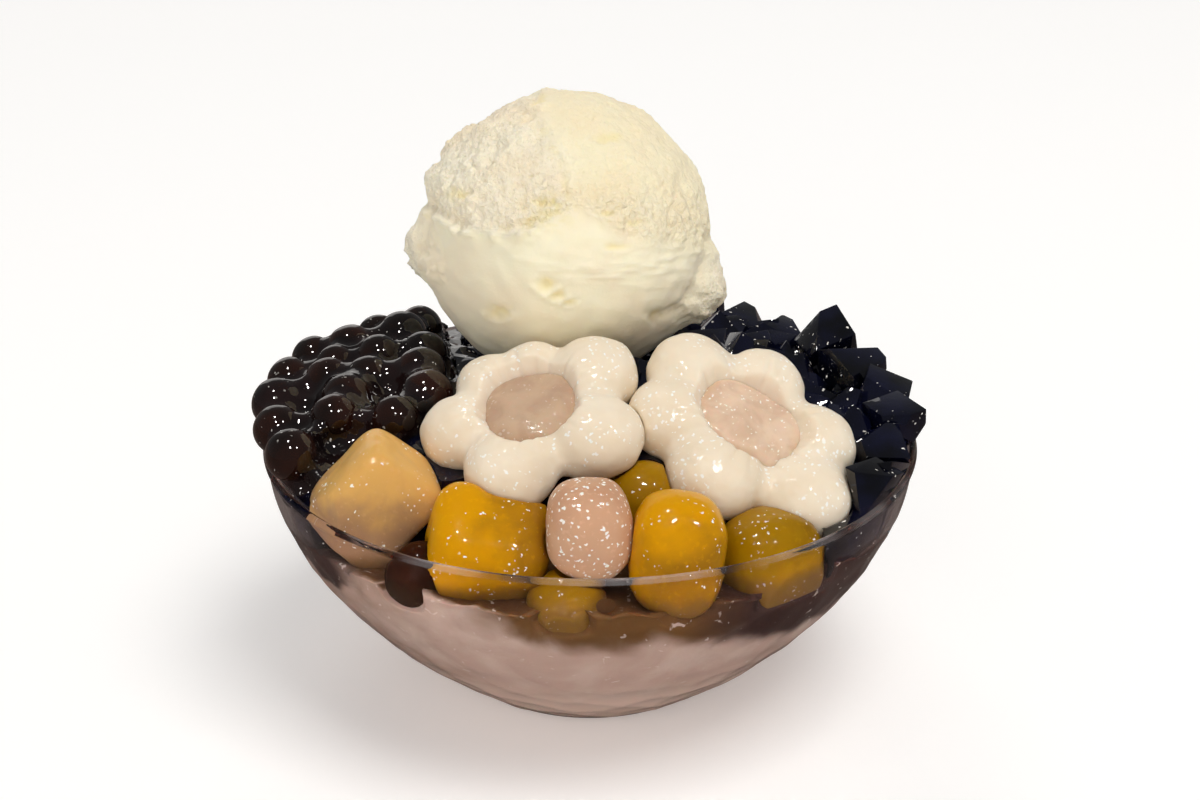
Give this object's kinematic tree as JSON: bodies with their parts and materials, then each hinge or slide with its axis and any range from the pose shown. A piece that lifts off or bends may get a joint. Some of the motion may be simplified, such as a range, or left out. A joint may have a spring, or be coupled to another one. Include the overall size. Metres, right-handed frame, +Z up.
{
  "type": "bowl of grass jelly dessert",
  "caption": "Clear round bowl of milk ice heaped with black jelly and tapioca pearls, topped with taro and sweet potato pieces, flower-shaped rice dumplings and a scoop of ice cream.",
  "frame": {"origin": "middle of the bowl's flat underside", "axes": "+Z up out of the bowl; the pictured side, with the soft pieces along the wall, faces -Y; the pearls lie at -X and the jelly at +X"},
  "size_m": [0.1433, 0.1398, 0.1229],
  "materials": {
    "clear_bowl": "clear, lightly hammered outside, glossy",
    "milk_ice": "wet crushed milk ice tinted by grass jelly syrup",
    "tapioca_pearl": "near-black brown, syrup-coated, glossy",
    "black_jelly": "blue-black, wet and glossy",
    "vanilla_ice_cream": "pale cream, crumbly above and smooth below",
    "rice_dough": "warm white, soft and translucent, satin",
    "taro_paste": "greyish pink paste, moist",
    "beige_taro": "beige to yellow, wet",
    "yellow_sweet_potato": "translucent yellow, wet",
    "amber_sweet_potato": "translucent amber, wet",
    "pink_taro": "dusky pink, wet and grainy"
  },
  "bodies": {
    "root": {"bowl": "clear_bowl", "milk_ice": "milk_ice", "pearl_heap": "tapioca_pearl", "pearl_front": "tapioca_pearl", "jelly_heap": "black_jelly", "ice_cream_scoop": "vanilla_ice_cream", "flower_left": "rice_dough", "flower_right": "rice_dough", "flower_left_centre": "taro_paste", "flower_right_centre": "taro_paste", "taro_wedge": "beige_taro", "taro_ball_pink": "pink_taro", "sweet_potato_ball_left": "yellow_sweet_potato", "sweet_potato_ball_mid": "yellow_sweet_potato", "sweet_potato_ball_right": "amber_sweet_potato", "sweet_potato_ball_back": "amber_sweet_potato", "sweet_potato_ball_low": "amber_sweet_potato"}
  },
  "joints": []
}
